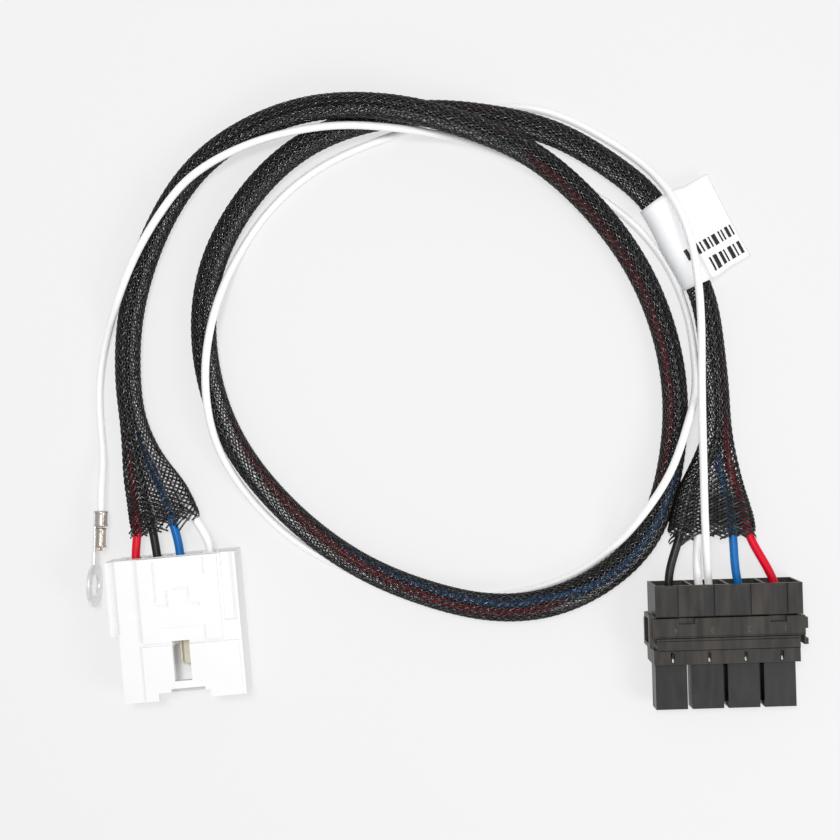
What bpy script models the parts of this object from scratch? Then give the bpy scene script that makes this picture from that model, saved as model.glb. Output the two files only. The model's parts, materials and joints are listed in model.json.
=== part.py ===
"""Plug-in adapter loom of a trailer brake controller, laid out on a table.

A black four-way receptacle and a white four-way blade connector are joined by four
insulated wires in a braided sleeve.  A white ground wire with a ring terminal runs
beside the sleeve, and a folded label hangs on it.

Lengths are in millimetres and are turned into metres where objects are made.
Z is up and the table is z = 0.  The origin is the bottom centre of the box around
the two connectors.  Each connector is modelled in its own frame: X along its row of
cavities, y = 0 at the rear face where the wires enter, and the mating end at -Y.
"""
import math

import bmesh
import bpy
import numpy as np
from mathutils import Euler, Matrix, Vector

MM = 0.001

# Where the two connectors lie: rear face centre, and turn about Z in degrees
BLACK_PLACE = ((74.54, 13.04, 0.0), 1.7)
WHITE_PLACE = ((-78.62, 20.54, 0.0), 5.1)

# Black receptacle
BLACK_CAVITIES = (-15.0, -5.0, 5.0, 15.0)
BLACK_AXIS_Z = 6.4              # height of the terminals' centre line
BLACK_TOWER_X = -0.75           # the towers stand a little off the body's centre line
BLACK_TOWER_END = -34.6
BLACK_TERMINAL_FRONT = -32.4
BLACK_WIRE_END = -9.5
LATCH_AXIS = (0.0, -13.0, 1.6)

# White blade connector
WHITE_CAVITIES = (-10.3, -4.2, 1.9, 10.2)
WHITE_AXIS_Z = 6.8
WHITE_LENGTH = 39.0
WHITE_BLADE_TIP = -30.0
WHITE_WIRE_END = -8.6

# Cords
SLEEVE_RADIUS = 3.6
SLEEVE_WALL = 0.25
SLEEVE_STATIONS = 64
SLEEVE_SIDES = 16
WIRE_RADIUS = 1.2
GROUND_RADIUS = 1.1
GROUND_POINTS = 80
BUNDLE_OFFSET = 1.33            # half the spacing of the two-by-two wire bundle
FLARE_LENGTH = 38.0             # how far from its ends the sleeve starts to open
FLARE_HALF_HEIGHT = 3.0
FLARE_WIDTH_START = 9.8         # half width of the open end at the white connector
FLARE_WIDTH_END = 12.3          # half width of the open end at the black connector
TABLE_GAP = 0.1

# Wires, left to right of the sleeve's direction of travel.  Each row gives the place
# in the bundle as quarter turns, the side step at each open end, and the cavities.
WIRES = {
    "wire_red": {"quarter": 0, "start": -8.0, "end": -10.0, "white": 0, "black": 3},
    "wire_black": {"quarter": 1, "start": -3.9, "end": 8.7, "white": 1, "black": 0},
    "wire_white": {"quarter": 2, "start": 7.7, "end": 3.9, "white": 3, "black": 1},
    "wire_blue": {"quarter": 3, "start": 1.9, "end": -5.7, "white": 2, "black": 2},
}
BUNDLE_TURNS = 1                # quarter turns of the bundle from end to end
BLACK_ENTRY = {"wire_red": 13.7, "wire_black": -15.2, "wire_white": -7.0, "wire_blue": 3.9}
WHITE_ENTRY = {"wire_red": -10.3, "wire_black": -4.4, "wire_white": 10.5, "wire_blue": 2.0}
SHARED_CAVITY_STEP = 1.3        # the white wire and the ground wire share a cavity

# Ring terminal for an M6 stud, standing nearly on its edge
RING_CENTRE = (-100.5, 12.0, 6.2)
RING_TURN = -0.5
RING_PITCH = -2.5               # degrees, the barrel end hangs lower
RING_ROLL = 85.0
RING_OUTER = 6.1
RING_HOLE = 3.25
RING_THICKNESS = 0.8
BARREL_LIFT = 1.0               # the barrels' centre line above the ring's mid plane

# Label: a strip folded round the sleeve and stuck to itself as a flag
LABEL_START = 0.8739            # place along the sleeve, as a fraction of its length
LABEL_LENGTH = 26.5
LABEL_RADIUS = 4.25
LABEL_FLAG = 17.5               # from the sleeve's centre line to the flag's edge
LABEL_THICKNESS = 0.2
LABEL_SPLIT = 0.3               # half the gap between the flag's two layers
LABEL_DROOP = 2.4               # how far the flag's free edge hangs

# Sleeve centre line, from the open end at the white connector to the other one
SLEEVE_ROUTE = (
    (-80.6, 29.1, 6.6), (-83.1, 36.6, 6.2), (-85.5, 42.1, 5.6), (-88.8, 52.1, 4.6),
    (-91.1, 63.3, 3.9), (-91.8, 74.5, 3.7), (-91.1, 85.7, 3.7), (-87.7, 100.6, 3.7),
    (-81.6, 115.2, 3.7), (-71.3, 129.5, 3.8), (-56.1, 139.6, 5.4), (-39.7, 144.0, 9.6),
    (-25.5, 144.2, 12.9), (-12.6, 142.6, 13.9), (1.3, 139.2, 12.8), (18.6, 132.7, 9.4),
    (36.4, 119.1, 6.4), (50.1, 101.9, 4.4), (58.1, 83.8, 3.7), (61.5, 65.0, 3.7),
    (60.3, 45.4, 3.7), (52.9, 24.7, 3.7), (40.5, 13.2, 4.0), (25.0, 6.8, 5.0),
    (8.3, 6.1, 6.2), (-8.0, 9.8, 6.2), (-23.5, 15.9, 5.4), (-37.7, 24.7, 4.2),
    (-50.2, 35.9, 3.7), (-63.4, 54.2, 3.7), (-70.0, 75.9, 3.7), (-68.9, 98.0, 3.7),
    (-59.3, 118.4, 3.8), (-41.8, 134.9, 4.8), (-26.5, 141.0, 6.0), (-7.1, 143.5, 6.4),
    (8.5, 142.4, 6.0), (29.5, 137.2, 4.4), (44.2, 128.6, 4.2), (55.1, 118.7, 4.6),
    (61.6, 107.0, 4.6), (67.9, 95.6, 4.5), (71.9, 77.6, 3.9), (73.4, 59.4, 3.9),
    (72.6, 45.7, 4.6), (71.6, 35.7, 5.2), (71.5, 26.5, 5.8),
)

# Ground wire, from just outside the ring terminal to the black connector's rear face
GROUND_ROUTE = (
    (-98.9, 46.3, 3.0), (-99.9, 56.3, 1.3), (-99.6, 73.5, 1.2), (-97.3, 83.3, 2.6),
    (-94.1, 90.8, 7.0), (-89.0, 102.5, 9.2), (-81.8, 115.1, 9.1), (-74.1, 124.5, 9.0),
    (-66.4, 130.0, 8.8), (-54.8, 135.3, 8.4), (-43.1, 138.1, 9.4), (-30.5, 139.1, 11.1),
    (-19.5, 138.6, 11.0), (-8.5, 138.0, 7.1), (3.6, 136.2, 2.8), (21.1, 130.2, 1.2),
    (39.7, 121.3, 1.2), (53.6, 109.9, 1.2), (63.3, 94.1, 1.2), (67.2, 77.7, 1.2),
    (67.2, 67.0, 4.0), (64.2, 56.9, 8.6), (59.5, 43.9, 9.0), (51.8, 31.7, 8.4),
    (44.0, 22.1, 3.2), (33.8, 14.8, 1.2), (16.6, 9.3, 1.2), (-4.3, 8.1, 1.2),
    (-25.4, 13.9, 1.2), (-43.7, 23.0, 1.2), (-58.3, 36.9, 2.0), (-66.6, 51.9, 6.9),
    (-69.1, 65.7, 9.2), (-68.7, 78.7, 9.0), (-66.0, 91.1, 7.4), (-61.1, 104.1, 2.3),
    (-50.8, 118.8, 1.2), (-35.1, 130.9, 1.2), (-15.5, 138.9, 1.2), (2.5, 144.4, 1.2),
    (20.6, 145.9, 1.2), (40.9, 138.1, 1.2), (54.3, 127.7, 4.9), (61.9, 115.4, 10.4),
    (66.7, 96.7, 10.5), (68.0, 69.1, 9.2), (68.3, 44.2, 10.2), (68.5, 31.3, 10.9),
    (69.2, 20.4, 9.8),
)


# ---------------------------------------------------------------- scene and helpers

def clear_scene():
    """Remove the objects that a new Blender file starts with."""
    for obj in list(bpy.data.objects):
        bpy.data.objects.remove(obj, do_unlink=True)


def new_collection(name):
    """Make a collection under the scene."""
    made = bpy.data.collections.new(name)
    bpy.context.scene.collection.children.link(made)
    return made


def new_material(name, colour, roughness, metallic=0.0):
    """Make a Principled material of one colour."""
    made = bpy.data.materials.new(name)
    made.use_nodes = True
    shader = made.node_tree.nodes["Principled BSDF"]
    shader.inputs["Base Color"].default_value = (*colour, 1.0)
    shader.inputs["Roughness"].default_value = roughness
    shader.inputs["Metallic"].default_value = metallic
    made.diffuse_color = (*colour, 1.0)
    return made


def new_object(name, mesh, parent=None, location=(0.0, 0.0, 0.0), material=None):
    """Put a mesh into the parts collection under its parent, placed in millimetres."""
    obj = bpy.data.objects.new(name, mesh)
    PARTS.objects.link(obj)
    obj.parent = parent
    obj.location = Vector(location) * MM
    if material:
        obj.data.materials.append(material)
    return obj


def new_place(name, location, rotation):
    """Make an empty that carries the frame of one connector or terminal."""
    place = bpy.data.objects.new(name, None)
    PARTS.objects.link(place)
    place.location = Vector(location) * MM
    place.rotation_euler = rotation
    return place


def box_mesh(name, x, y, z, origin=(0.0, 0.0, 0.0)):
    """Make a box between the given limits, measured from an origin."""
    shape = bmesh.new()
    bmesh.ops.create_cube(shape, size=1.0)
    low = Vector((x[0], y[0], z[0]))
    high = Vector((x[1], y[1], z[1]))
    centre = (low + high) / 2 - Vector(origin)
    bmesh.ops.scale(shape, vec=(high - low) * MM, verts=shape.verts)
    bmesh.ops.translate(shape, vec=centre * MM, verts=shape.verts)
    mesh = bpy.data.meshes.new(name)
    shape.to_mesh(mesh)
    shape.free()
    return mesh


def rod_mesh(name, radius, start, end, axis, sides=20, offset=(0.0, 0.0, 0.0)):
    """Make a closed cylinder along X, Y or Z between two stations."""
    turn = {"X": Matrix.Rotation(math.pi / 2, 4, "Y"),
            "Y": Matrix.Rotation(-math.pi / 2, 4, "X"),
            "Z": Matrix.Identity(4)}[axis]
    shape = bmesh.new()
    bmesh.ops.create_cone(shape, cap_ends=True, segments=sides, radius1=radius * MM,
                          radius2=radius * MM, depth=(end - start) * MM,
                          matrix=Matrix.Translation((0, 0, (start + end) / 2 * MM)))
    bmesh.ops.transform(shape, matrix=turn, verts=shape.verts)
    bmesh.ops.translate(shape, vec=Vector(offset) * MM, verts=shape.verts)
    mesh = bpy.data.meshes.new(name)
    shape.to_mesh(mesh)
    shape.free()
    return mesh


def combine(target, operation, name, mesh, like=None):
    """Join or cut a target with a helper shape that stays in the cutters collection."""
    like = like or target
    tool = bpy.data.objects.new(name, mesh)
    CUTTERS.objects.link(tool)
    tool.parent = like.parent
    tool.location = like.location
    tool.hide_render = True
    tool.display_type = "WIRE"
    step = target.modifiers.new(name, "BOOLEAN")
    step.operation = operation
    step.object = tool
    step.solver = "EXACT"


def add_box(target, name, x, y, z):
    """Join a box, given in the connector's frame, to a piece."""
    combine(target, "UNION", name, box_mesh(name, x, y, z, target.location / MM))


def cut_box(target, name, x, y, z):
    """Cut a box, given in the connector's frame, out of a piece."""
    combine(target, "DIFFERENCE", name, box_mesh(name, x, y, z, target.location / MM))


def around(centre, half):
    """Give the two limits that lie half a width either side of a centre."""
    return (centre - half, centre + half)


# ---------------------------------------------------------------- smooth curves

def smooth_curve(points, samples=4000):
    """Pass a natural cubic spline through the points, spaced by chord length."""
    points = np.asarray(points, float)
    chord = np.linalg.norm(np.diff(points, axis=0), axis=1)
    knot = np.concatenate([[0.0], np.cumsum(chord)])
    count = len(points)
    system = np.zeros((count, count))
    right = np.zeros((count, 3))
    system[0, 0] = system[-1, -1] = 1.0
    for i in range(1, count - 1):
        system[i, i - 1:i + 2] = chord[i - 1], 2 * (chord[i - 1] + chord[i]), chord[i]
        right[i] = 6 * ((points[i + 1] - points[i]) / chord[i]
                        - (points[i] - points[i - 1]) / chord[i - 1])
    bend = np.linalg.solve(system, right)
    u = np.linspace(0.0, knot[-1], samples)
    i = np.clip(np.searchsorted(knot, u, side="right") - 1, 0, count - 2)
    span = chord[i][:, None]
    after = (u - knot[i])[:, None]
    before = span - after
    return ((bend[i] * before ** 3 + bend[i + 1] * after ** 3) / (6 * span)
            + (points[i] / span - bend[i] * span / 6) * before
            + (points[i + 1] / span - bend[i + 1] * span / 6) * after)


def even_points(curve, count):
    """Resample a dense curve at even distances; give the points and its length."""
    along = np.concatenate([[0.0], np.cumsum(np.linalg.norm(np.diff(curve, axis=0), axis=1))])
    at = np.linspace(0.0, along[-1], count)
    return np.stack([np.interp(at, along, curve[:, k]) for k in range(3)], 1), along[-1]


def travel_frames(points):
    """Give the level side step (right of travel) and the up step at every point."""
    tangent = np.gradient(points, axis=0)
    side = np.cross(tangent, (0.0, 0.0, 1.0))
    side /= np.linalg.norm(side, axis=1)[:, None]
    up = np.cross(side, tangent)
    up /= np.linalg.norm(up, axis=1)[:, None]
    return side, up


def ease(value):
    """Run smoothly from 0 to 1."""
    value = np.clip(value, 0.0, 1.0)
    return value * value * (3 - 2 * value)


# ---------------------------------------------------------------- connector places

def in_world(place, point):
    """Turn a point in a connector's frame into the part's frame, in millimetres."""
    location, degrees = place
    return np.array(Matrix.Rotation(math.radians(degrees), 3, "Z") @ Vector(point)) + location


def connector_place(name, place):
    """Make a connector's empty."""
    location, degrees = place
    return new_place(name, location, (0.0, 0.0, math.radians(degrees)))


# ---------------------------------------------------------------- black receptacle

def black_housing(place):
    """Moulded body: rear block, core, band, skirt and four separate towers."""
    axis = BLACK_AXIS_Z
    mesh = box_mesh("black_housing", (-20.25, 20.25), (-8.7, 0.0), (0.0, 13.0))
    body = new_object("black_housing", mesh, place, material=BLACK_PLASTIC)
    add_box(body, "black_core", (-19.6, 19.3), (-15.0, -8.2), (0.2, 10.7))
    add_box(body, "black_band", (-19.95, 19.35), (-17.9, -14.6), (0.3, 12.8))
    add_box(body, "black_skirt", (-20.8, 19.4), (-21.8, -17.7), (0.7, 12.3))
    for side, wall in ((-1, -19.6), (1, 19.3)):
        limits = sorted((wall - side, wall + side * 1.6))
        add_box(body, f"black_tooth_{side}", limits, (-14.2, -12.4), (7.6, 10.2))
    for k, x in enumerate(BLACK_CAVITIES):
        add_box(body, f"black_tower_{k}", around(x + BLACK_TOWER_X, 4.37),
                (BLACK_TOWER_END, -21.2), around(axis, 3.0))
    for k, x in enumerate(BLACK_CAVITIES):
        cut_box(body, f"black_pocket_{k}", around(x, 4.6), (-5.5, 1.0), around(axis, 5.6))
        cut_box(body, f"black_cavity_{k}", around(x + BLACK_TOWER_X / 2, 3.8),
                (BLACK_TOWER_END - 1.0, -5.0), around(axis, 2.2))
        cut_box(body, f"black_slot_{k}", around(x, 2.8), (-13.0, -10.0), (axis, 11.5))
        cut_box(body, f"black_seam_{k}", around(x + 1.0, 0.2), (-8.0, 1.0), (12.6, 13.5))
        cut_box(body, f"black_glint_{k}", around(x - 0.9, 0.3), (-21.3, -18.4), (11.6, 13.0))
    cut_box(body, "latch_channel", (-4.2, 4.2), (-20.9, -6.6), (-1.0, 3.0))
    x, y, z = LATCH_AXIS
    socket = rod_mesh("latch_socket", 1.05, -5.4, 5.4, "X", offset=(0.0, y, z))
    combine(body, "DIFFERENCE", "latch_socket", socket)
    return body


def black_retainer(place):
    """Comb that slides down over the terminals, with a side loop at each end."""
    origin = (0.0, -11.6, 12.0)
    mesh = box_mesh("black_retainer", (-21.2, 20.7), (-14.3, -9.0), (11.0, 13.3), origin)
    comb = new_object("black_retainer", mesh, place, origin, BLACK_PLASTIC)
    for name, x in (("left", (-22.0, -20.9)), ("right", (20.4, 21.5))):
        add_box(comb, f"loop_{name}", x, (-17.0, -9.6), (3.0, 12.9))
        cut_box(comb, f"loop_window_{name}", (x[0] - 1, x[1] + 1), (-14.8, -11.8), (5.0, 10.7))
    for k, x in enumerate(BLACK_CAVITIES):
        add_box(comb, f"tongue_{k}", around(x, 2.4), (-12.7, -10.3), (8.2, 11.3))
    for k, x in enumerate(((-13.9, -9.5), (11.1, 15.7))):
        cut_box(comb, f"comb_recess_{k}", x, (-10.6, -8.0), (12.4, 14.0))
    return comb


def black_terminal(place, k, x):
    """Flat receptacle for a 6.3 mm blade, with its crimp neck."""
    centre = x + BLACK_TOWER_X / 2
    name = f"black_terminal_{k + 1}"
    mesh = box_mesh(name, around(centre, 3.45), (BLACK_TERMINAL_FRONT, -13.2),
                    around(BLACK_AXIS_Z, 1.85))
    piece = new_object(name, mesh, place, material=TERMINAL_METAL)
    add_box(piece, f"{name}_neck", around(centre, 1.5), (-13.6, BLACK_WIRE_END - 0.4),
            around(BLACK_AXIS_Z, 1.4))
    cut_box(piece, f"{name}_mouth", around(centre, 3.0), (BLACK_TERMINAL_FRONT - 1, -24.0),
            around(BLACK_AXIS_Z, 0.9))


def black_latch(place):
    """Lock lever under the receptacle, rocking on a cross pin."""
    x, y, z = LATCH_AXIS
    mesh = box_mesh("black_latch", (-3.6, 3.6), (-20.4, -7.2), (0.8, 2.3), LATCH_AXIS)
    lever = new_object("black_latch", mesh, place, LATCH_AXIS, BLACK_PLASTIC)
    combine(lever, "UNION", "latch_pin", rod_mesh("latch_pin", 0.7, -5.0, 5.0, "X"))
    return lever


# ---------------------------------------------------------------- white connector

def white_housing(place):
    """Moulded body with a hood that is open at the mating end."""
    axis = WHITE_AXIS_Z
    end = -WHITE_LENGTH
    mesh = box_mesh("white_housing", (-15.4, 18.0), (end, 0.0), (0.0, 13.6))
    body = new_object("white_housing", mesh, place, material=WHITE_PLASTIC)
    add_box(body, "white_rail", (-18.0, -15.0), (-20.5, -0.2), (1.5, 12.4))
    add_box(body, "white_panel", (-9.3, 17.2), (end + 0.1, -24.0), (13.0, 14.3))
    cut_box(body, "rail_groove_outer", around(-16.5, 0.3), (-20.0, 1.0), (11.6, 13.0))
    cut_box(body, "rail_groove_inner", around(-15.3, 0.3), (-20.0, 1.0), (11.6, 14.0))
    cut_box(body, "retainer_seat", (-8.75, 13.15), (-23.2, 1.0), (10.7, 15.0))
    cut_box(body, "side_recess", (13.9, 17.3), (-18.5, 1.0), (12.4, 15.0))
    cut_box(body, "hood", (-13.9, 16.5), (end - 1.0, -24.6), (1.5, 12.1))
    cut_box(body, "hood_window", (-1.05, 3.65), (-33.9, -24.2), (11.0, 15.0))
    cut_box(body, "hood_notch", (-5.8, 8.4), (end - 1.0, end + 2.2), (11.0, 15.0))
    cut_box(body, "hood_notch_deep", (-2.4, 7.0), (end - 1.0, end + 3.1), (11.0, 15.0))
    for k, x in enumerate(WHITE_CAVITIES):
        cut_box(body, f"white_cavity_{k}", around(x, 2.3), (-25.5, 1.0), around(axis, 2.3))
    for k, x in enumerate(WHITE_CAVITIES[1:]):
        cut_box(body, f"white_slot_{k}", around(x, 1.8), (-12.9, -9.7), (axis, 11.5))
    return body


def white_retainer(place):
    """Raised block that slides down into the housing and locks the blades."""
    origin = (2.2, -11.5, 13.0)
    mesh = box_mesh("white_retainer", (-8.4, 12.8), (-22.9, -0.1), (11.0, 14.8), origin)
    block = new_object("white_retainer", mesh, place, origin, WHITE_PLASTIC)
    for k, x in enumerate(WHITE_CAVITIES[1:]):
        add_box(block, f"white_tongue_{k}", around(x, 1.45), (-12.5, -10.1), (8.0, 11.3))
    cut_box(block, "block_step", (-3.9, 8.6), (-24.0, -19.2), (14.3, 16.0))
    cut_box(block, "block_groove", around(-4.3, 0.25), (-12.5, -1.0), (14.3, 16.0))
    return block


def white_blade(place, k, x):
    """Male blade with its box and crimp neck."""
    name = f"white_blade_{k + 1}"
    mesh = box_mesh(name, around(x, 1.6), (-20.0, -13.0), around(WHITE_AXIS_Z, 1.6))
    piece = new_object(name, mesh, place, material=TERMINAL_METAL)
    add_box(piece, f"{name}_tab", around(x, 1.15), (WHITE_BLADE_TIP, -19.5),
            around(WHITE_AXIS_Z, 0.4))
    add_box(piece, f"{name}_neck", around(x, 1.1), (-13.4, WHITE_WIRE_END - 0.4),
            around(WHITE_AXIS_Z, 0.9))


# ---------------------------------------------------------------- ring terminal

def ring_matrix():
    """Frame of the ring terminal: ring in its XY plane, barrels towards +Y."""
    turn = Euler((math.radians(RING_PITCH), 0.0, math.radians(RING_TURN)), "XYZ").to_matrix()
    roll = Matrix.Rotation(math.radians(RING_ROLL), 3, "Y")
    return (turn @ roll).to_4x4()


def on_ring(point):
    """Turn a point in the ring terminal's frame into the part's frame."""
    return np.array(ring_matrix() @ Vector(point)) + RING_CENTRE


def ring_terminal():
    """Stamped ring, tongue, conductor barrel and insulation barrel in one piece."""
    place = new_place("ring_place", RING_CENTRE, ring_matrix().to_euler())
    half = RING_THICKNESS / 2
    disc = rod_mesh("ring_terminal", RING_OUTER, -half, half, "Z", sides=32)
    ring = new_object("ring_terminal", disc, place, material=TIN)
    add_box(ring, "ring_tongue", (-1.5, 1.5), (4.5, 19.6), (-half, half))
    lift = (0.0, 0.0, BARREL_LIFT + 0.4)
    for name, outer, start, end in (("conductor", 1.45, 10.6, 15.3),
                                    ("insulation", 1.85, 16.0, 20.6)):
        barrel = rod_mesh(f"{name}_barrel", outer, start, end, "Y", offset=lift)
        combine(ring, "UNION", f"{name}_barrel", barrel)
    hole = rod_mesh("ring_hole", RING_HOLE, -2.0, 2.0, "Z", sides=32)
    combine(ring, "DIFFERENCE", "ring_hole", hole)
    for name, bore, start, end in (("conductor", 0.95, 9.0, 16.2),
                                   ("insulation", 1.42, 15.7, 22.0)):
        bored = rod_mesh(f"{name}_bore", bore, start, end, "Y", offset=lift)
        combine(ring, "DIFFERENCE", f"{name}_bore", bored)
    return place, lift


def copper_strands(place, lift):
    """Bared conductor, from the wire's insulation through the conductor barrel."""
    strand = rod_mesh("copper_strands", 0.62, 9.6, 15.6, "Y", sides=10, offset=lift)
    new_object("copper_strands", strand, place, material=COPPER)


# ---------------------------------------------------------------- cords

def loft_tube(name, outer, inner, material):
    """Skin a hollow tube, open at both ends, through rings of outer and inner points."""
    shape = bmesh.new()
    skins = []
    for rings in (outer, inner):
        skins.append([[shape.verts.new(Vector(p) * MM) for p in ring] for ring in rings])
    sides = len(outer[0])
    for skin in skins:
        for here, there in zip(skin, skin[1:]):
            for k in range(sides):
                n = (k + 1) % sides
                shape.faces.new((here[k], here[n], there[n], there[k]))
    for end in (0, -1):
        for k in range(sides):
            n = (k + 1) % sides
            shape.faces.new((skins[0][end][k], skins[0][end][n],
                             skins[1][end][n], skins[1][end][k]))
    bmesh.ops.recalc_face_normals(shape, faces=shape.faces)
    mesh = bpy.data.meshes.new(name)
    shape.to_mesh(mesh)
    shape.free()
    mesh.shade_smooth()
    return new_object(name, mesh, material=material)


def flare(distance):
    """How far the sleeve has opened, from 0 to 1, at a distance from its end."""
    return ease(1 - distance / FLARE_LENGTH) ** 1.4


def sleeve_line():
    """Stations, frames and length of the sleeve's centre line."""
    points, length = even_points(smooth_curve(SLEEVE_ROUTE), SLEEVE_STATIONS)
    points[:, 2] = np.maximum(points[:, 2], SLEEVE_RADIUS + TABLE_GAP)
    side, up = travel_frames(points)
    return points, side, up, length


def braided_sleeve(line):
    """Hollow sleeve, round along its length and flattened where its ends open."""
    points, side, up, length = line
    rings = {0.0: [], SLEEVE_WALL: []}
    for i, centre in enumerate(points):
        at = length * i / (SLEEVE_STATIONS - 1)
        for end, widest in ((at, FLARE_WIDTH_START), (length - at, FLARE_WIDTH_END)):
            if end <= length / 2:
                open_by = flare(end)
                wide = SLEEVE_RADIUS + (widest - SLEEVE_RADIUS) * open_by
        high = SLEEVE_RADIUS + (FLARE_HALF_HEIGHT - SLEEVE_RADIUS) * open_by
        power = 1.0 - 0.45 * open_by
        for wall, ring in rings.items():
            section = []
            for k in range(SLEEVE_SIDES):
                angle = 2 * math.pi * (k + 0.5) / SLEEVE_SIDES
                c, s = math.cos(angle), math.sin(angle)
                across = (wide - wall) * math.copysign(abs(c) ** power, c)
                above = (high - wall) * math.copysign(abs(s) ** power, s)
                section.append(centre + side[i] * across + up[i] * above)
            ring.append(section)
    loft_tube("braided_sleeve", rings[0.0], rings[SLEEVE_WALL], BRAID)


def wire_in_sleeve(line, wire):
    """Stations of one wire inside the sleeve: bundled, and spread at the open ends."""
    points, side, up, length = line
    stations = []
    for i, centre in enumerate(points):
        at = length * i / (SLEEVE_STATIONS - 1)
        turn = BUNDLE_TURNS * ease((at - FLARE_LENGTH) / (length - 2 * FLARE_LENGTH))
        angle = math.radians(135 + 90 * (wire["quarter"] + turn))
        across = BUNDLE_OFFSET * math.sqrt(2) * math.cos(angle)
        above = BUNDLE_OFFSET * math.sqrt(2) * math.sin(angle)
        for end, target in ((at, wire["start"]), (length - at, wire["end"])):
            open_by = flare(end) if end < FLARE_LENGTH else 0.0
            across += (target - across) * open_by ** 1.25
            above *= 1 - open_by ** 2
        stations.append(centre + side[i] * across + up[i] * above)
    return stations


def cord(name, points, radius, material):
    """Round cord as a bevelled curve with filled caps, turned into a welded mesh."""
    curve = bpy.data.curves.new(name, "CURVE")
    curve.dimensions = "3D"
    curve.bevel_depth = radius * MM
    curve.bevel_resolution = 2
    curve.use_fill_caps = True
    line = curve.splines.new("POLY")
    line.points.add(len(points) - 1)
    for place, point in zip(line.points, points):
        place.co = (*(Vector(point) * MM), 1.0)
    new_object(name, curve, material=material)


def sleeved_wire(name, wire, line, material):
    """One wire from its blade in the white connector to its black terminal."""
    cavity = WHITE_CAVITIES[wire["white"]]
    entry = WHITE_ENTRY[name]
    start = [in_world(WHITE_PLACE, p) for p in (
        (cavity, WHITE_WIRE_END, WHITE_AXIS_Z), (cavity, -4.0, WHITE_AXIS_Z),
        (entry, 0.3, WHITE_AXIS_Z))]
    cavity = BLACK_CAVITIES[wire["black"]]
    cavity -= SHARED_CAVITY_STEP if name == "wire_white" else 0.0
    entry = BLACK_ENTRY[name]
    end = [in_world(BLACK_PLACE, p) for p in (
        (entry, 0.4, BLACK_AXIS_Z), (cavity, -5.2, BLACK_AXIS_Z),
        (cavity, BLACK_WIRE_END, BLACK_AXIS_Z))]
    cord(name, start + wire_in_sleeve(line, wire) + end, WIRE_RADIUS, material)


def ground_wire():
    """Ground wire from the ring terminal, twice round the loop, to cavity two."""
    lift = BARREL_LIFT + 0.4
    start = [on_ring((0.0, y, lift)) for y in (15.95, 21.0, 26.5)]
    cavity = BLACK_CAVITIES[1] + SHARED_CAVITY_STEP
    end = [in_world(BLACK_PLACE, p) for p in (
        (-4.3, 0.4, BLACK_AXIS_Z + 0.6), (cavity, -5.2, BLACK_AXIS_Z),
        (cavity, BLACK_WIRE_END, BLACK_AXIS_Z))]
    curve = smooth_curve([*start, *GROUND_ROUTE, *end])
    points, length = even_points(curve, GROUND_POINTS)
    points[:, 2] = np.maximum(points[:, 2], GROUND_RADIUS + TABLE_GAP)
    cord("ground_wire", points, GROUND_RADIUS, WHITE_WIRE)


# ---------------------------------------------------------------- label

def label_flag():
    """Strip of label film: out along the flag, round the sleeve, and back out."""
    curve = smooth_curve(SLEEVE_ROUTE)
    points, length = even_points(curve, 1200)
    side, up = travel_frames(points)
    step = length / (len(points) - 1)
    first = int(round(LABEL_START * length / step))
    last = first + int(round(LABEL_LENGTH / step))
    split = math.asin(LABEL_SPLIT / LABEL_RADIUS)
    flag = [(-LABEL_FLAG, -LABEL_DROOP), (-(LABEL_FLAG + LABEL_RADIUS) / 2, -LABEL_DROOP * 0.4)]
    profile = [(x, z + LABEL_SPLIT) for x, z in flag]
    for k in range(15):
        angle = math.pi - split - (2 * math.pi - 2 * split) * k / 14
        profile.append((LABEL_RADIUS * math.cos(angle), LABEL_RADIUS * math.sin(angle)))
    profile += [(x, z - LABEL_SPLIT) for x, z in reversed(flag)]
    shape = bmesh.new()
    across = side[(first + last) // 2]
    rows = []
    for share in np.linspace(0.0, 1.0, 5):
        i = int(round(first + (last - first) * share))
        straight = points[first] * (1 - share) + points[last] * share
        row = []
        for x, z in profile:
            out = ease((-x - LABEL_RADIUS) / (LABEL_FLAG - LABEL_RADIUS))
            base = points[i] * (1 - out) + straight * out
            row.append(shape.verts.new(Vector(base + across * x + up[i] * z) * MM))
        rows.append(row)
    for here, there in zip(rows, rows[1:]):
        for k in range(len(profile) - 1):
            shape.faces.new((here[k], here[k + 1], there[k + 1], there[k]))
    mesh = bpy.data.meshes.new("label_flag")
    shape.to_mesh(mesh)
    shape.free()
    label = new_object("label_flag", mesh, material=LABEL_FILM)
    film = label.modifiers.new("film", "SOLIDIFY")
    film.thickness = LABEL_THICKNESS * MM
    film.offset = 0.0


# ---------------------------------------------------------------- assembly

clear_scene()
PARTS = new_collection("brake_controller_loom")
CUTTERS = new_collection("cutters")

BLACK_PLASTIC = new_material("black_plastic", (0.055, 0.050, 0.047), 0.45)
WHITE_PLASTIC = new_material("white_plastic", (0.85, 0.85, 0.84), 0.40)
TERMINAL_METAL = new_material("terminal_metal", (0.52, 0.45, 0.34), 0.30, 1.0)
TIN = new_material("tin_plate", (0.72, 0.70, 0.67), 0.25, 1.0)
COPPER = new_material("copper", (0.60, 0.28, 0.16), 0.30, 1.0)
BRAID = new_material("braid", (0.012, 0.012, 0.013), 0.50)
LABEL_FILM = new_material("label_film", (0.88, 0.88, 0.88), 0.25)
WHITE_WIRE = new_material("white_insulation", (0.90, 0.90, 0.89), 0.35)
WIRE_MATERIALS = {
    "wire_red": new_material("red_insulation", (0.78, 0.005, 0.02), 0.35),
    "wire_black": new_material("black_insulation", (0.02, 0.02, 0.022), 0.35),
    "wire_white": WHITE_WIRE,
    "wire_blue": new_material("blue_insulation", (0.005, 0.09, 0.42), 0.35),
}

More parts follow.
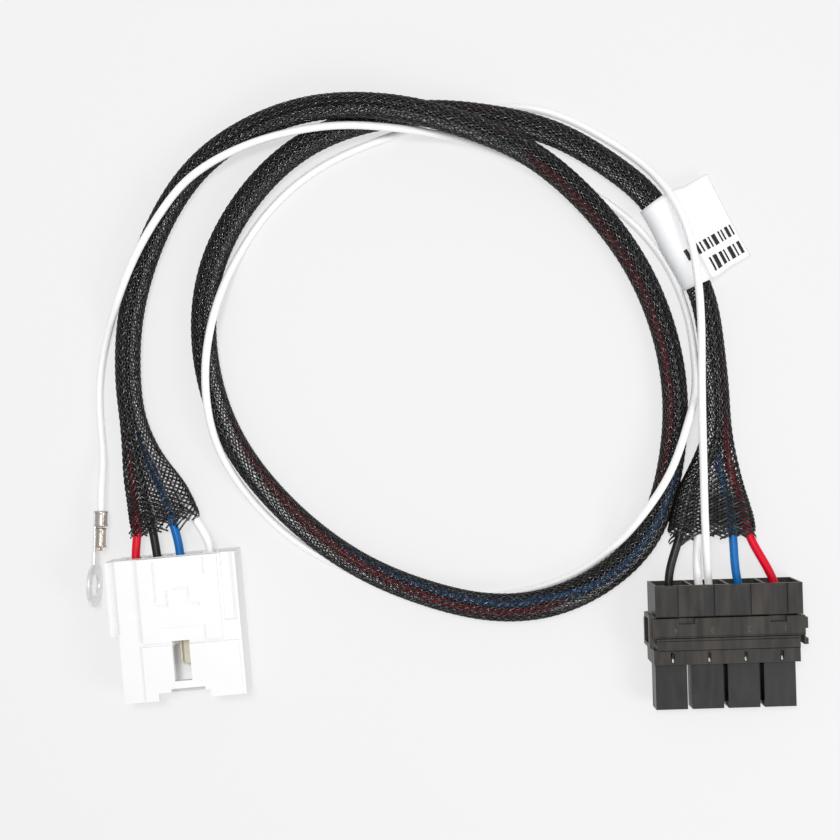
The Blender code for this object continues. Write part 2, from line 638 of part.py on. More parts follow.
black_place = connector_place("black_connector", BLACK_PLACE)
black_housing(black_place)
black_retainer(black_place)
black_latch(black_place)
for number, cavity_x in enumerate(BLACK_CAVITIES):
    black_terminal(black_place, number, cavity_x)

white_place = connector_place("white_connector", WHITE_PLACE)
white_housing(white_place)
white_retainer(white_place)
for number, cavity_x in enumerate(WHITE_CAVITIES):
    white_blade(white_place, number, cavity_x)

copper_strands(*ring_terminal())

sleeve = sleeve_line()
braided_sleeve(sleeve)
for wire_name, row in WIRES.items():
    sleeved_wire(wire_name, row, sleeve, WIRE_MATERIALS[wire_name])
ground_wire()
label_flag()
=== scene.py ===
"""Looks of a trailer brake controller's wiring harness, laid out on a pale floor.

Lengths are in millimetres and are turned into metres where objects are made.
The cords' routes repeat the points that the CAD solids follow.
"""

import json
import math

import bmesh
import bpy
import numpy as np
from mathutils import Matrix, Vector

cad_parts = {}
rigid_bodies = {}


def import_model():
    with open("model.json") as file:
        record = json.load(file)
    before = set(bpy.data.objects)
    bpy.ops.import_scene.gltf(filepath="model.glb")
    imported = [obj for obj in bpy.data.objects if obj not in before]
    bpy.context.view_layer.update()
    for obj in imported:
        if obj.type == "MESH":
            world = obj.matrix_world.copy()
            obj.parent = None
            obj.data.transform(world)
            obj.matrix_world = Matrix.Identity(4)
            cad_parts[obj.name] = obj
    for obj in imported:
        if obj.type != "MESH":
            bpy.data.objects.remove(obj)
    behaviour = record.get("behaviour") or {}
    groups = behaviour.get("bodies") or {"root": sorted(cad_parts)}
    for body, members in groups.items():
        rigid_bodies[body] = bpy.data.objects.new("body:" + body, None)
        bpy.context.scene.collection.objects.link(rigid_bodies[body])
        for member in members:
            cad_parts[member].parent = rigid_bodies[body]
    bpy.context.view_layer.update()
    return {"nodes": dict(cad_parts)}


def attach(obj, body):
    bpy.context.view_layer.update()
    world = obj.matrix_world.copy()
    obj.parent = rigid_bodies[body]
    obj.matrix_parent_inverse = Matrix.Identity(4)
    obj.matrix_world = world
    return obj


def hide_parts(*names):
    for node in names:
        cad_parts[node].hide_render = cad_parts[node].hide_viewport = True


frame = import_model()

MM = 0.001
LOOM = "loom"

# Moulded pieces: welding distance, then angles in degrees of flat and of sharp edges
WELD = 0.004
FLAT_ANGLE, SHARP_ANGLE = 1.0, 35.0

# Camera straight above the table, and half of what it sees across at the table
CAMERA_AT = (-9.9, 58.0, 400.0)
CAMERA_HALF_VIEW = 118.812

# Studio; each light has a name, a place, the length of its side and a power in watts
WHITE = (1.0, 1.0, 1.0, 1.0)
WORLD_STRENGTH = 0.48
FLOOR_SIZE = 12000.0
FLOOR_TONE = 0.25
FLOOR_GLOW = 0.61
LIGHT_AIM = (0.0, 60.0, 0.0)
LIGHTS = (
    ("overhead", (-70.0, 150.0, 640.0), 120.0, 2.1),
    ("side", (380.0, -160.0, 420.0), 260.0, 1.1),
)

# Connector frames: rear face centre, and turn about Z in degrees
BLACK_PLACE = ((74.54, 13.04, 0.0), 1.7)
WHITE_PLACE = ((-78.62, 20.54, 0.0), 5.1)

# Height of the wires' axis, and where along it they pass, from inside the cavity out
BLACK_AXIS_Z = 6.4
WHITE_AXIS_Z = 6.8
BLACK_WIRE_Y = (-9.5, -5.2, 0.4)
WHITE_WIRE_Y = (-8.6, -4.0, 0.3)

# Black connector, in its own frame; cuts in its top face start at BLACK_ABOVE
BLACK_ABOVE = 14.0
BLACK_SEAMS = (-14.1, -4.1, 5.9, 15.9)
BLACK_SLOTS = (-15.9, -5.9, 4.1, 14.1)
BLACK_NUMERALS = (15.2, 5.2, -4.8, -14.8)
BLACK_TOWERS_START = -21.9
NUMERAL_PLACE_Y, NUMERAL_BASE, NUMERAL_SIZE, NUMERAL_HEIGHT = -12.2, 13.32, 2.3, 0.06

# White connector, in its own frame; the grooves in its block reach over WHITE_GROOVE
WHITE_CAVITIES = (-10.3, -4.2, 1.9, 10.2)
WHITE_GROOVE = (14.3, 16.0)
WHITE_WINDOW = (-1.05, 3.65)

# Ring terminal, in its own frame: the ring in its XY plane, the barrels towards +Y
RING_CENTRE = (-100.5, 12.0, 6.2)
RING_TURN, RING_PITCH, RING_ROLL = -0.5, -2.5, 85.0
RING_RADIUS, RING_BORE, RING_SHEET = 6.1, 3.25, 0.8
CRIMP_SHEET = 0.30
WIRE_LIFT = 1.4                 # the wire's axis above the ring's sheet
STRANDS = 7                     # one in the middle and the others round it
STRAND_SPAN = (9.6, 16.2)
STRAND_RADIUS, STRAND_CIRCLE, STRAND_TWIST = 0.20, 0.40, 0.35
RING_WIRE_Y = (26.5, 21.0, 15.95)

# Sleeve
SLEEVE_RADIUS = 3.6
FLARE_LENGTH = 38.0
FLARE_CURVE = 1.4               # the higher, the later an open end widens
FLARE_HALF_HEIGHT = 3.0
FLARE_WIDTH_START = 9.8
FLARE_WIDTH_END = 12.3
FLARE_BOXY = 0.45               # how far the section turns from round to boxy
FLARE_CUT = 26.0                # the open ends are pieces of their own up to here
BULGE_AT, BULGE_LENGTH = 355.0, 30.0
BULGE_WIDE, BULGE_HIGH = 0.55, 0.2
SPARE = 3.3                     # how far the centre line runs on past the sleeve's ends

# Braid
RANDOM_SEED = 7
CARRIERS = 24                   # filaments each way round
BRAID_PITCH = 2.0               # between neighbouring filaments, along the sleeve
BRAID_STEP = 0.55               # between stations along the sleeve
BRAID_GROUPS = 8                # pieces of the middle stretch
END_GROUPS = 3                  # pieces of each open end
SECTION_PARTS = 256             # round the section
STEEPEST = 0.90                 # sine of a filament's largest angle to the sleeve
FILAMENT_WIDTH = 0.43
FILAMENT_THICK = 0.24
FILAMENT_SWAY = 0.05
WEAVE_DEPTH = 0.19
PLY_SPREAD = 0.13               # half the step between a filament's plies in the open ends
PLY_WIDTH = 0.58                # of the filament's width, where the end is fully open
FRAY_LENGTH = 5.0
CLUMP = 3                       # neighbouring filaments that stick together at the cut
CLUMP_BEND = 0.65

# Wires
WIRE_RADIUS = 1.2
GROUND_RADIUS = 1.1
BUNDLE_RADIUS = 1.80
WIRE_GAP = 0.02
TABLE_GAP = 0.1
RELAX_ROUNDS = 150              # of pushing the wires in the sleeve apart
ROUTE_STRIDE = 14               # stations of the sleeve from one point of a wire to the next
MOUTH_DEPTHS = (28.0, 21.0)     # from a wire's ends to where the braid covers it
# Where each wire is across the sleeve's mouths, in its cavities and at their openings
WIRES = {
    "wire_red": {"white_mouth": -8.0, "black_mouth": -10.0,
                 "white": WHITE_CAVITIES[0], "enter_white": -10.3,
                 "black": 15.0, "enter_black": 13.7},
    "wire_black": {"white_mouth": -3.9, "black_mouth": 8.7,
                   "white": WHITE_CAVITIES[1], "enter_white": -4.4,
                   "black": -15.0, "enter_black": -15.2},
    "wire_white": {"white_mouth": 7.7, "black_mouth": 3.9,
                   "white": WHITE_CAVITIES[3], "enter_white": 10.5,
                   "black": -6.3, "enter_black": -7.0},
    "wire_blue": {"white_mouth": 1.9, "black_mouth": -5.7,
                  "white": WHITE_CAVITIES[2], "enter_white": 2.0,
                  "black": 5.0, "enter_black": 3.9},
}

BUNDLE_ORDER = ("wire_red", "wire_blue", "wire_white", "wire_black")
# Distance along the sleeve, then the angle about its axis of each wire, in degrees
BUNDLE_TURNS = (
    (38, 216, 300, 16, 120), (190, 216, 300, 16, 120), (207, 208, 258, -30, 112),
    (213, 30, 240, -50, 108), (228, 25, 215, -62, 115), (300, 25, 210, -68, 115),
    (309, 5, 180, -90, 95), (318, -60, 118, -145, 25), (325, -75, 97, -165, 10),
    (348, -75, 97, -165, 10), (356, -70, 85, -155, -10), (363, 130, 60, -142, -58),
    (375, 137, 54, -138, -55), (400, 105, 20, -170, -85), (430, 60, -25, -215, -130),
    (450, 28, -57, -248, -163), (475, -27, -112, -303, -218), (490, -53, -138, -328, -243),
    (530, -70, -154, -346, -247), (575, -66, -150, -342, -243), (640, -145, -70, -338, -240),
    (700, -150, -75, -345, -250), (742, -165, -85, -350, -262),
)
# Where one wire passes the others inside: wire, place, length, across, above
CROSSINGS = (("wire_red", 210.0, 11.0, 0.0, -0.6), ("wire_red", 359.0, 10.0, 0.1, -0.3),
             ("wire_red", 607.0, 14.0, 0.0, -0.2))

# Label
LABEL_START, LABEL_LENGTH = 0.8739, 26.5
LABEL_RADIUS = 4.25
LABEL_SPLIT, LABEL_PINCH = 0.3, 0.11    # half the space between its layers, inside and outside
LABEL_FLAG, LABEL_DROOP = 17.5, 2.4
LABEL_THICK, PRINT_THICK = 0.16, 0.02
PRINT_LIFT = 0.09               # from the strip's middle to the print on its face
PRINT_MARGIN = 1.0
# Plain printed marks: share along, share tall, then each mark's width and the gap after it
LABEL_MARKS = (
    (0.80, 0.14, ((1.0, 0.8), (0.5, 0.6), (1.3, 0.9), (0.5, 0.5), (1.0, 0.8), (1.3, 0.6),
                  (0.6, 0.0))),
    (0.60, 0.12, ((0.5, 0.6), (1.0, 0.8), (0.5, 0.5), (0.5, 0.9), (1.3, 0.6), (0.5, 0.6),
                  (1.0, 0.8), (0.5, 0.6), (1.2, 5.0), (1.2, 0.0))),
)

SLEEVE_ROUTE = (
    (-80.6, 29.1, 6.6), (-83.1, 36.6, 6.2), (-85.5, 42.1, 5.6), (-88.8, 52.1, 4.6),
    (-91.1, 63.3, 3.9), (-91.8, 74.5, 3.7), (-91.1, 85.7, 3.7), (-87.7, 100.6, 3.7),
    (-81.6, 115.2, 3.7), (-71.3, 129.5, 3.8), (-56.1, 139.6, 5.4), (-39.7, 144.0, 9.6),
    (-25.5, 144.2, 12.9), (-12.6, 142.6, 13.9), (1.3, 139.2, 12.8), (18.6, 132.7, 9.4),
    (36.4, 119.1, 6.4), (50.1, 101.9, 4.4), (58.1, 83.8, 3.7), (61.5, 65.0, 3.7),
    (60.3, 45.4, 3.7), (52.9, 24.7, 3.7), (40.5, 13.2, 4.0), (25.0, 6.8, 5.0),
    (8.3, 6.1, 6.2), (-8.0, 9.8, 6.2), (-23.5, 15.9, 5.4), (-37.7, 24.7, 4.2),
    (-50.2, 35.9, 3.7), (-63.4, 54.2, 3.7), (-70.0, 75.9, 3.7), (-68.9, 98.0, 3.7),
    (-59.3, 118.4, 3.8), (-41.8, 134.9, 4.8), (-26.5, 141.0, 6.0), (-7.1, 143.5, 6.4),
    (8.5, 142.4, 6.0), (29.5, 137.2, 4.4), (44.2, 128.6, 4.2), (55.1, 118.7, 4.6),
    (61.6, 107.0, 4.6), (67.9, 95.6, 4.5), (71.9, 77.6, 3.9), (73.4, 59.4, 3.9),
    (72.6, 45.7, 4.6), (71.6, 35.7, 5.2), (71.5, 26.5, 5.8),
)
GROUND_ROUTE = (
    (-98.9, 46.3, 3.0), (-99.9, 56.3, 1.3), (-99.6, 73.5, 1.2), (-97.3, 83.3, 2.6),
    (-94.1, 90.8, 7.0), (-89.0, 102.5, 9.2), (-81.8, 115.1, 9.1), (-74.1, 124.5, 9.0),
    (-66.4, 130.0, 8.8), (-54.8, 135.3, 8.4), (-43.1, 138.1, 9.4), (-30.5, 139.1, 11.1),
    (-19.5, 138.6, 11.0), (-8.5, 138.0, 7.1), (3.6, 136.2, 2.8), (21.1, 130.2, 1.2),
    (39.7, 121.3, 1.2), (53.6, 109.9, 1.2), (63.3, 94.1, 1.2), (67.2, 77.7, 1.2),
    (67.2, 67.0, 4.0), (64.2, 56.9, 8.6), (59.5, 43.9, 9.0), (51.8, 31.7, 8.4),
    (44.0, 22.1, 3.2), (33.8, 14.8, 1.2), (16.6, 9.3, 1.2), (-4.3, 8.1, 1.2),
    (-25.4, 13.9, 1.2), (-43.7, 23.0, 1.2), (-58.3, 36.9, 2.0), (-66.6, 51.9, 6.9),
    (-69.1, 65.7, 9.2), (-68.7, 78.7, 9.0), (-66.0, 91.1, 7.4), (-61.1, 104.1, 2.3),
    (-50.8, 118.8, 1.2), (-35.1, 130.9, 1.2), (-15.5, 138.9, 1.2), (2.5, 144.4, 1.2),
    (20.6, 145.9, 1.2), (40.9, 138.1, 1.2), (54.3, 127.7, 4.9), (61.9, 115.4, 10.4),
    (66.7, 96.7, 10.5), (68.0, 69.1, 9.2), (68.3, 44.2, 10.2), (68.5, 31.3, 10.9),
    (69.2, 20.4, 9.8),
)


# ---------------------------------------------------------------- small helpers

def new_object(name, mesh, *materials):
    """Put a mesh into the scene, with its materials."""
    obj = bpy.data.objects.new(name, mesh)
    bpy.context.scene.collection.objects.link(obj)
    for material in materials:
        obj.data.materials.append(material)
    return obj


def principled(name, colour, roughness, metallic=0.0, **sockets):
    """Plain Principled material; further sockets are given by name."""
    made = bpy.data.materials.new(name)
    made.use_nodes = True
    shader = made.node_tree.nodes["Principled BSDF"]
    shader.inputs["Base Color"].default_value = (*colour, 1.0)
    shader.inputs["Roughness"].default_value = roughness
    shader.inputs["Metallic"].default_value = metallic
    for socket, value in sockets.items():
        shader.inputs[socket.replace("_", " ")].default_value = value
    return made


def textured(name, colour, roughness, second, grain=900.0, grain_depth=0.00002, metallic=0.0,
             stretch=(1.0, 1.0, 1.0), spread=0.08, blotch=180.0, **sockets):
    """Principled material with cloudy tone, uneven gloss and a fine moulded grain.

    The noise scales, blotch and grain, are per metre, and the grain's depth is in metres.
    """
    made = principled(name, colour, roughness, metallic, **sockets)
    nodes, links = made.node_tree.nodes, made.node_tree.links
    shader = nodes["Principled BSDF"]
    where = nodes.new("ShaderNodeTexCoord")
    scale = nodes.new("ShaderNodeMapping")
    scale.inputs["Scale"].default_value = stretch
    links.new(where.outputs["Object"], scale.inputs["Vector"])
    cloud = nodes.new("ShaderNodeTexNoise")
    cloud.inputs["Scale"].default_value = blotch
    cloud.inputs["Detail"].default_value = 5.0
    links.new(scale.outputs["Vector"], cloud.inputs["Vector"])
    ramp = nodes.new("ShaderNodeValToRGB")
    ramp.color_ramp.elements[0].position = 0.32
    ramp.color_ramp.elements[0].color = (*colour, 1.0)
    ramp.color_ramp.elements[1].position = 0.70
    ramp.color_ramp.elements[1].color = (*second, 1.0)
    links.new(cloud.outputs["Fac"], ramp.inputs["Fac"])
    links.new(ramp.outputs["Color"], shader.inputs["Base Color"])
    gloss = nodes.new("ShaderNodeMapRange")
    gloss.inputs["To Min"].default_value = roughness - spread
    gloss.inputs["To Max"].default_value = roughness + spread
    links.new(cloud.outputs["Fac"], gloss.inputs["Value"])
    links.new(gloss.outputs["Result"], shader.inputs["Roughness"])
    fine = nodes.new("ShaderNodeTexNoise")
    fine.inputs["Scale"].default_value = grain
    fine.inputs["Detail"].default_value = 3.0
    links.new(where.outputs["Object"], fine.inputs["Vector"])
    bump = nodes.new("ShaderNodeBump")
    bump.inputs["Strength"].default_value = 0.5
    bump.inputs["Distance"].default_value = grain_depth
    links.new(fine.outputs["Fac"], bump.inputs["Height"])
    links.new(bump.outputs["Normal"], shader.inputs["Normal"])
    return made


def mesh_from(name, points, faces):
    """Smooth-shaded mesh from points in millimetres and faces of their indices."""
    mesh = bpy.data.meshes.new(name)
    mesh.from_pydata((np.asarray(points) * MM).tolist(), [], faces)
    mesh.shade_smooth()
    return mesh


def mesh_of(name, shape):
    """Turn a bmesh into a mesh and free it."""
    mesh = bpy.data.meshes.new(name)
    shape.to_mesh(mesh)
    shape.free()
    return mesh


def evaluated_mesh(obj):
    """Mesh of an object in the scene as its modifiers leave it."""
    bpy.context.view_layer.update()
    graph = bpy.context.evaluated_depsgraph_get()
    return bpy.data.meshes.new_from_object(obj.evaluated_get(graph))


def joined_faces(mesh):
    """Bmesh of a boolean's result, with its flat faces joined up again."""
    shape = bmesh.new()
    shape.from_mesh(mesh)
    bmesh.ops.remove_doubles(shape, verts=shape.verts, dist=WELD)
    bmesh.ops.dissolve_limit(shape, angle_limit=math.radians(FLAT_ANGLE), verts=shape.verts,
                             edges=shape.edges)
    return shape


# ---------------------------------------------------------------- smooth curves

def smooth_curve(points, samples=4000):
    """Pass a natural cubic spline through the points, spaced by chord length."""
    points = np.asarray(points, float)
    chord = np.linalg.norm(np.diff(points, axis=0), axis=1)
    knot = np.concatenate([[0.0], np.cumsum(chord)])
    count = len(points)
    system = np.zeros((count, count))
    right = np.zeros((count, 3))
    system[0, 0] = system[-1, -1] = 1.0
    for i in range(1, count - 1):
        system[i, i - 1:i + 2] = chord[i - 1], 2 * (chord[i - 1] + chord[i]), chord[i]
        right[i] = 6 * ((points[i + 1] - points[i]) / chord[i]
                        - (points[i] - points[i - 1]) / chord[i - 1])
    bend = np.linalg.solve(system, right)
    u = np.linspace(0.0, knot[-1], samples)
    i = np.clip(np.searchsorted(knot, u, side="right") - 1, 0, count - 2)
    span = chord[i][:, None]
    after = (u - knot[i])[:, None]
    before = span - after
    return ((bend[i] * before ** 3 + bend[i + 1] * after ** 3) / (6 * span)
            + (points[i] / span - bend[i] * span / 6) * before
            + (points[i + 1] / span - bend[i + 1] * span / 6) * after)


def even_points(curve, count=None, step=None):
    """Resample a dense curve at even distances; give the points and its length."""
    along = np.concatenate([[0.0], np.cumsum(np.linalg.norm(np.diff(curve, axis=0), axis=1))])
    count = count or int(round(along[-1] / step)) + 1
    at = np.linspace(0.0, along[-1], count)
    return np.stack([np.interp(at, along, curve[:, k]) for k in range(3)], 1), along[-1]


def travel_frames(points):
    """Give the level side step (right of travel) and the up step at every point."""
    tangent = np.gradient(points, axis=0)
    side = np.cross(tangent, (0.0, 0.0, 1.0))
    side /= np.linalg.norm(side, axis=1)[:, None]
    up = np.cross(side, tangent)
    up /= np.linalg.norm(up, axis=1)[:, None]
    return side, up


def ease(value):
    """Run smoothly from 0 to 1."""
    value = np.clip(value, 0.0, 1.0)
    return value * value * (3 - 2 * value)


def in_world(place, point):
    """Turn a point in a connector's frame into the part's frame, in millimetres."""
    location, degrees = place
    return np.array(Matrix.Rotation(math.radians(degrees), 3, "Z") @ Vector(point)) + location


def tube_mesh(name, points, radius, sides=14):
    """Round tube with closed ends along the points."""
    points = np.asarray(points, float)
    side, up = travel_frames(points)
    angle = 2 * math.pi * np.arange(sides) / sides
    ring = (side[:, None] * np.cos(angle)[None, :, None]
            + up[:, None] * np.sin(angle)[None, :, None]) * radius
    verts = (points[:, None] + ring).reshape(-1, 3)
    i = np.arange(len(points) - 1)[:, None] * sides
    k = np.arange(sides)[None, :]
    n = (k + 1) % sides
    quads = np.stack([i + k, i + sides + k, i + sides + n, i + n], -1).reshape(-1, 4)
    faces = quads.tolist()
    faces.append(list(range(sides)))
    last = (len(points) - 1) * sides
    faces.append([last + j for j in reversed(range(sides))])
    return mesh_from(name, verts, faces)


# ---------------------------------------------------------------- camera, lights, floor

def camera():
    """Camera straight above, as in the photograph."""
    data = bpy.data.cameras.new("camera")
    data.angle = 2 * math.atan(CAMERA_HALF_VIEW / CAMERA_AT[2])
    data.clip_start = 0.01
    obj = bpy.data.objects.new("camera", data)
    obj.location = Vector(CAMERA_AT) * MM
    bpy.context.scene.collection.objects.link(obj)
    bpy.context.scene.camera = obj


def area_light(name, location, size, power):
    """Square soft light that faces the middle of the loop."""
    data = bpy.data.lights.new(name, "AREA")
    data.size = size * MM
    data.energy = power
    obj = bpy.data.objects.new(name, data)
    obj.location = Vector(location) * MM
    obj.rotation_euler = (Vector(LIGHT_AIM) - Vector(location)).to_track_quat("-Z", "Y").to_euler()
    bpy.context.scene.collection.objects.link(obj)


def studio():
    """Pale floor, white surroundings and soft lights."""
    world = bpy.data.worlds.new("studio")
    world.use_nodes = True
    background = world.node_tree.nodes["Background"]
    background.inputs["Color"].default_value = WHITE
    background.inputs["Strength"].default_value = WORLD_STRENGTH
    bpy.context.scene.world = world
    bpy.context.scene.view_settings.view_transform = "Standard"
    for light in LIGHTS:
        area_light(*light)
    bpy.ops.mesh.primitive_plane_add(size=FLOOR_SIZE * MM, location=(0.0, 0.0, 0.0))
    floor = bpy.context.object
    floor.name = "floor"
    floor.data.materials.append(principled("floor_paper", (FLOOR_TONE,) * 3, 0.9,
                                           Emission_Color=WHITE, Emission_Strength=FLOOR_GLOW))


camera()
studio()


# ---------------------------------------------------------------- sleeve geometry

class Sleeve:
    """Centre line, frames and section of the braided sleeve at even stations."""

    def __init__(self):
        curve = smooth_curve(SLEEVE_ROUTE)
        first = (curve[0] - curve[1]) / np.linalg.norm(curve[0] - curve[1])
        last = (curve[-1] - curve[-2]) / np.linalg.norm(curve[-1] - curve[-2])
        curve = np.vstack([curve[0] + first * SPARE, curve, curve[-1] + last * SPARE])
        self.points, total = even_points(curve, step=BRAID_STEP)
        self.length = total - 2 * SPARE
        self.at = np.linspace(-SPARE, self.length + SPARE, len(self.points))
        from_end = self.length - self.at
        self.open_start = ease(1 - self.at / FLARE_LENGTH) ** FLARE_CURVE
        self.open_end = ease(1 - from_end / FLARE_LENGTH) ** FLARE_CURVE
        self.opened = np.maximum(self.open_start, self.open_end)
        widest = np.where(self.at < from_end, FLARE_WIDTH_START, FLARE_WIDTH_END)
        bulge = np.exp(-((self.at - BULGE_AT) / BULGE_LENGTH) ** 2)
        self.wide = (SLEEVE_RADIUS + BULGE_WIDE * bulge
                     + (widest - SLEEVE_RADIUS) * self.opened)
        self.high = (SLEEVE_RADIUS + BULGE_HIGH * bulge
                     + (FLARE_HALF_HEIGHT - SLEEVE_RADIUS) * self.opened)
        self.power = 1.0 - FLARE_BOXY * self.opened
        self.points[:, 2] = np.maximum(self.points[:, 2], self.high + TABLE_GAP)
        self.side, self.up = travel_frames(self.points)

    def bundle(self):
        """Lines of the four wires: twisted along the sleeve, spread at its open ends."""
        keys = np.array(BUNDLE_TURNS, float)
        window = np.hanning(23)[1:-1]
        window /= window.sum()
        spots = np.empty((4, len(self.at), 2))
        for k in range(4):
            angle = np.interp(self.at, keys[:, 0], keys[:, k + 1])
            angle = np.convolve(np.pad(angle, 10, mode="edge"), window, mode="valid")
            spots[k, :, 0] = BUNDLE_RADIUS * np.cos(np.radians(angle))
            spots[k, :, 1] = BUNDLE_RADIUS * np.sin(np.radians(angle))
        for name, at, length, across, above in CROSSINGS:
            k = BUNDLE_ORDER.index(name)
            pull = np.exp(-((self.at - at) / length) ** 4)[:, None]
            spots[k] = spots[k] * (1 - pull) + np.array((across, above)) * pull
        limit = np.stack([self.wide, self.high], 1) - (SLEEVE_RADIUS - BUNDLE_RADIUS)
        for _ in range(RELAX_ROUNDS):
            for a in range(4):
                for b in range(a + 1, 4):
                    apart = spots[a] - spots[b]
                    gap = np.linalg.norm(apart, axis=1)[:, None]
                    push = np.maximum(2 * WIRE_RADIUS + WIRE_GAP - gap, 0) / gap * apart / 2
                    spots[a] += push
                    spots[b] -= push
            spots /= np.maximum(np.linalg.norm(spots / limit, axis=2), 1.0)[:, :, None]
            spots[:, 1:-1] = (spots[:, :-2] + 2 * spots[:, 1:-1] + spots[:, 2:]) / 4
        lines = {}
        for name, spot in zip(BUNDLE_ORDER, spots):
            across, above = spot[:, 0], spot[:, 1]
            for opened, target in ((self.open_start, WIRES[name]["white_mouth"]),
                                   (self.open_end, WIRES[name]["black_mouth"])):
                across = across + (target - across) * opened ** 1.25
                above = above * (1 - opened ** 2)
            lines[name] = (self.points + self.side * across[:, None]
                           + self.up * above[:, None])
        return lines


# ---------------------------------------------------------------- braid

def braid(sleeve, rng):
    """Filaments woven over two and under two, each with its own cut ends."""
    count = len(sleeve.points)
    grid = 2 * math.pi * np.arange(SECTION_PARTS + 1) / SECTION_PARTS
    cos, sin = np.cos(grid), np.sin(grid)
    power = sleeve.power[:, None]
    inset = FILAMENT_THICK / 2 + WEAVE_DEPTH
    across = (sleeve.wide - inset)[:, None] * np.sign(cos) * np.abs(cos) ** power
    above = (sleeve.high - inset)[:, None] * np.sign(sin) * np.abs(sin) ** power
    around = np.hypot(np.diff(across, axis=1), np.diff(above, axis=1))
    around = np.concatenate([np.zeros((count, 1)), np.cumsum(around, axis=1)], axis=1)
    girth = around[:, -1]
    round_girth = 2 * math.pi * (SLEEVE_RADIUS - inset)
    helix = math.atan(round_girth / CARRIERS / BRAID_PITCH)
    sine = np.minimum(math.sin(helix) * girth / round_girth, STEEPEST)
    slope = sine / np.sqrt(1 - sine ** 2)
    step = sleeve.at[1] - sleeve.at[0]
    spin = np.concatenate([[0.0], np.cumsum((slope / girth * step)[:-1])])
    rows = np.arange(count)
    filaments = []
    for direction in (1, -1):
        clumps = rng.normal(0.0, CLUMP_BEND, (CARRIERS // CLUMP + 1, 2, 3))
        for carrier in range(CARRIERS):
            share = carrier / CARRIERS + direction * spin
            turn = share * CARRIERS * 2
            share = share + wobble(sleeve.at, rng) / girth
            lift = direction * np.cos(math.pi / 2 * (turn - 0.5)) * WEAVE_DEPTH
            where = (share % 1.0) * girth
            j = np.minimum((around <= where[:, None]).sum(axis=1) - 1, SECTION_PARTS - 1)
            part = (where - around[rows, j]) / (around[rows, j + 1] - around[rows, j])
            first = np.stack([across[rows, j], above[rows, j]], 1)
            second = np.stack([across[rows, j + 1], above[rows, j + 1]], 1)
            spot = first + (second - first) * part[:, None]
            out = np.stack([second[:, 1] - first[:, 1], first[:, 0] - second[:, 0]], 1)
            out /= np.linalg.norm(out, axis=1)[:, None]
            normal = sleeve.side * out[:, :1] + sleeve.up * out[:, 1:]
            centre = (sleeve.points + sleeve.side * spot[:, :1] + sleeve.up * spot[:, 1:]
                      + normal * lift[:, None])
            low, high = np.array((0.0, sleeve.length)) + fray_cut(spot, rng)
            for near, end in ((low, 0), (high, 1)):
                loose = np.clip(1 - np.abs(sleeve.at - near) / FRAY_LENGTH, 0, 1)
                own = rng.normal(0.0, 0.5, 3) * (0.25 + 0.75 * rng.random() ** 3)
                bend = clumps[carrier // CLUMP, end] + own
                centre = centre + (loose ** 2)[:, None] * bend
            keep = (sleeve.at >= low) & (sleeve.at <= high)
            filaments.append((centre, normal, keep))
    return filaments


def wobble(at, rng):
    """Slow sideways wander of one filament, in millimetres."""
    sway = np.zeros(len(at))
    for wave in (5.0, 9.0, 17.0):
        height = rng.normal(0.0, FILAMENT_SWAY)
        turns = at / wave * 2 * math.pi * rng.uniform(0.8, 1.2)
        sway += height * np.sin(turns + rng.uniform(0.0, 6.28))
    return sway


def fray_cut(spot, rng):
    """Where one filament was cut, past the sleeve's ends and uneven across the mouths."""
    cuts = []
    for row, sign in ((0, -1), (-1, 1)):
        x = spot[row, 0]
        wave = 0.7 * math.sin(0.55 * x + 1.0) + 0.5 * math.sin(1.3 * x - 0.6)
        cuts.append(sign * (0.9 + wave + rng.normal(0.0, 0.4)))
    return np.array(cuts)


def filament_mesh(name, filaments, part, opened, plies=(0.0,)):
    """Skin one part of the filaments as flat ribbons.

    Plies are steps beside a filament's line, taken in full where the sleeve is fully open.
    """
    section = np.array(((1, 0), (0.55, 1), (-0.55, 1), (-1, 0), (-0.55, -1), (0.55, -1)), float)
    section *= (FILAMENT_WIDTH / 2, FILAMENT_THICK / 2)
    sides = len(section)
    verts, faces = [], []
    base = 0
    for centre, normal, keep in filaments:
        tangent = np.gradient(centre, axis=0)
        tangent /= np.linalg.norm(tangent, axis=1)[:, None]
        across = np.cross(normal, tangent)
        across /= np.linalg.norm(across, axis=1)[:, None]
        out = np.cross(tangent, across)
        for step in plies:
            line = centre + across * (opened * step)[:, None]
            width = (1 - (1 - PLY_WIDTH) * opened)[:, None, None]
            ring = (across[:, None] * section[None, :, :1] * width
                    + out[:, None] * section[None, :, 1:])
            ring = (line[:, None] + ring)[keep & part]
            if len(ring) < 2:
                continue
            verts.append(ring.reshape(-1, 3))
            i = base + np.arange(len(ring) - 1)[:, None] * sides
            k = np.arange(sides)[None, :]
            n = (k + 1) % sides
            faces += np.stack([i + k, i + n, i + sides + n, i + sides + k],
                              -1).reshape(-1, 4).tolist()
            faces.append([base + j for j in reversed(range(sides))])
            last = base + (len(ring) - 1) * sides
            faces.append([last + j for j in range(sides)])
            base += len(ring) * sides
    return mesh_from(name, np.concatenate(verts), faces)


# ---------------------------------------------------------------- sleeve pieces

